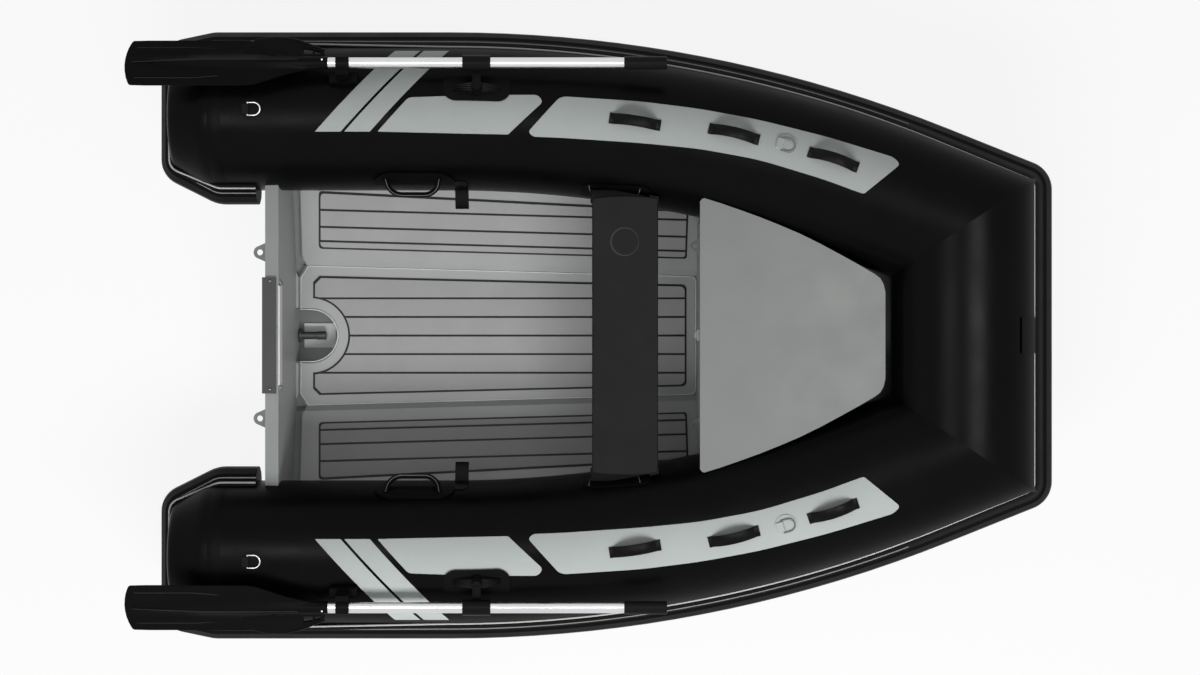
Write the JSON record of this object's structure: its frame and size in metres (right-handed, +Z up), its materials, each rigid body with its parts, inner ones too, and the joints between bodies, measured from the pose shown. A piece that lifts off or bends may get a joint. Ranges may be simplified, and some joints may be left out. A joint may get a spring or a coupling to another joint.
{
  "type": "rigid inflatable boat",
  "caption": "Rigid inflatable tender with aluminium V hull, bent air tubes, foam-planked deck, bench, hinged bow locker lid and swinging oars.",
  "frame": {"origin": "centre plane, amidships, at the waterline", "axes": "+X to the bow, +Y to port, +Z up"},
  "size_m": [2.5466, 1.704, 0.663],
  "materials": {
    "hull_paint": "satin powder coat",
    "deck_paint": "satin powder coat",
    "lid_paint": "satin powder coat",
    "foam_grey": "brushed closed-cell foam",
    "foam_black": "matt",
    "tube_fabric": "coated fabric, soft sheen",
    "strake_rubber": "matt",
    "piping_rubber": "matt",
    "patch_fabric": "matt embossed",
    "webbing": "woven",
    "moulded_rubber": "satin",
    "seat_plastic": "fine grain",
    "fitting_plastic": "satin",
    "pad_plastic": "satin",
    "keel_plastic": "satin",
    "stainless": "brushed",
    "oar_aluminium": "bright anodised",
    "blade_plastic": "satin",
    "grip_plastic": "satin"
  },
  "bodies": {
    "boat": {"hull": "hull_paint", "keel_guard": "keel_plastic", "transom": "hull_paint", "deck_centre": "deck_paint", "deck_port": "deck_paint", "deck_starboard": "deck_paint", "pad_backings": "foam_black", "planks_centre": "foam_grey", "planks_port": "foam_grey", "planks_starboard": "foam_grey", "drain_well": "deck_paint", "drain_pipe": "fitting_plastic", "tube_port": "tube_fabric", "tube_bow": "tube_fabric", "tube_starboard": "tube_fabric", "strake_port": "strake_rubber", "strake_bow": "strake_rubber", "strake_starboard": "strake_rubber", "piping_port": "piping_rubber", "piping_bow": "piping_rubber", "piping_starboard": "piping_rubber", "step_patches": "patch_fabric", "side_bands": "patch_fabric", "grab_straps_port": "webbing", "grab_straps_starboard": "webbing", "grab_handle_port": "moulded_rubber", "grab_handle_starboard": "moulded_rubber", "lashing_tabs": "webbing", "seat_brackets": "moulded_rubber", "seat": "seat_plastic", "seat_cap": "fitting_plastic", "locker_bulkhead": "deck_paint", "locker_box": "deck_paint", "lid_hinges": "stainless", "locker_latch": "stainless", "tie_eyes": "stainless", "motor_pad": "fitting_plastic", "transom_cap": "fitting_plastic", "clamp_plate": "pad_plastic", "tow_eyes": "deck_paint", "d_ring_pads": "moulded_rubber", "d_rings": "stainless", "bow_pad": "moulded_rubber", "oarlock_bases": "moulded_rubber", "oar_clips": "moulded_rubber"},
    "locker_lid": {"locker_lid": "lid_paint"},
    "port_oar": {"oarlock_port": "fitting_plastic", "oar_shaft_port": "oar_aluminium", "oar_blade_port": "blade_plastic", "oar_grip_port": "grip_plastic"},
    "starboard_oar": {"oarlock_starboard": "fitting_plastic", "oar_shaft_starboard": "oar_aluminium", "oar_blade_starboard": "blade_plastic", "oar_grip_starboard": "grip_plastic"}
  },
  "joints": [
    {"name": "locker_lid_hinge", "type": "hinge", "parent": "boat", "child": "locker_lid", "pos_m": [0.748, 0, 0.409], "axis": [0, 1, 0], "range_deg": [0, 85]},
    {"name": "port_oar_swing", "type": "hinge", "parent": "boat", "child": "port_oar", "pos_m": [-0.354, 0.67294, 0.45604], "axis": [0, -0.2924, -0.9563], "range_deg": [0, 100]},
    {"name": "starboard_oar_swing", "type": "hinge", "parent": "boat", "child": "starboard_oar", "pos_m": [-0.354, -0.67294, 0.45604], "axis": [0, -0.2924, 0.9563], "range_deg": [0, 100]}
  ]
}
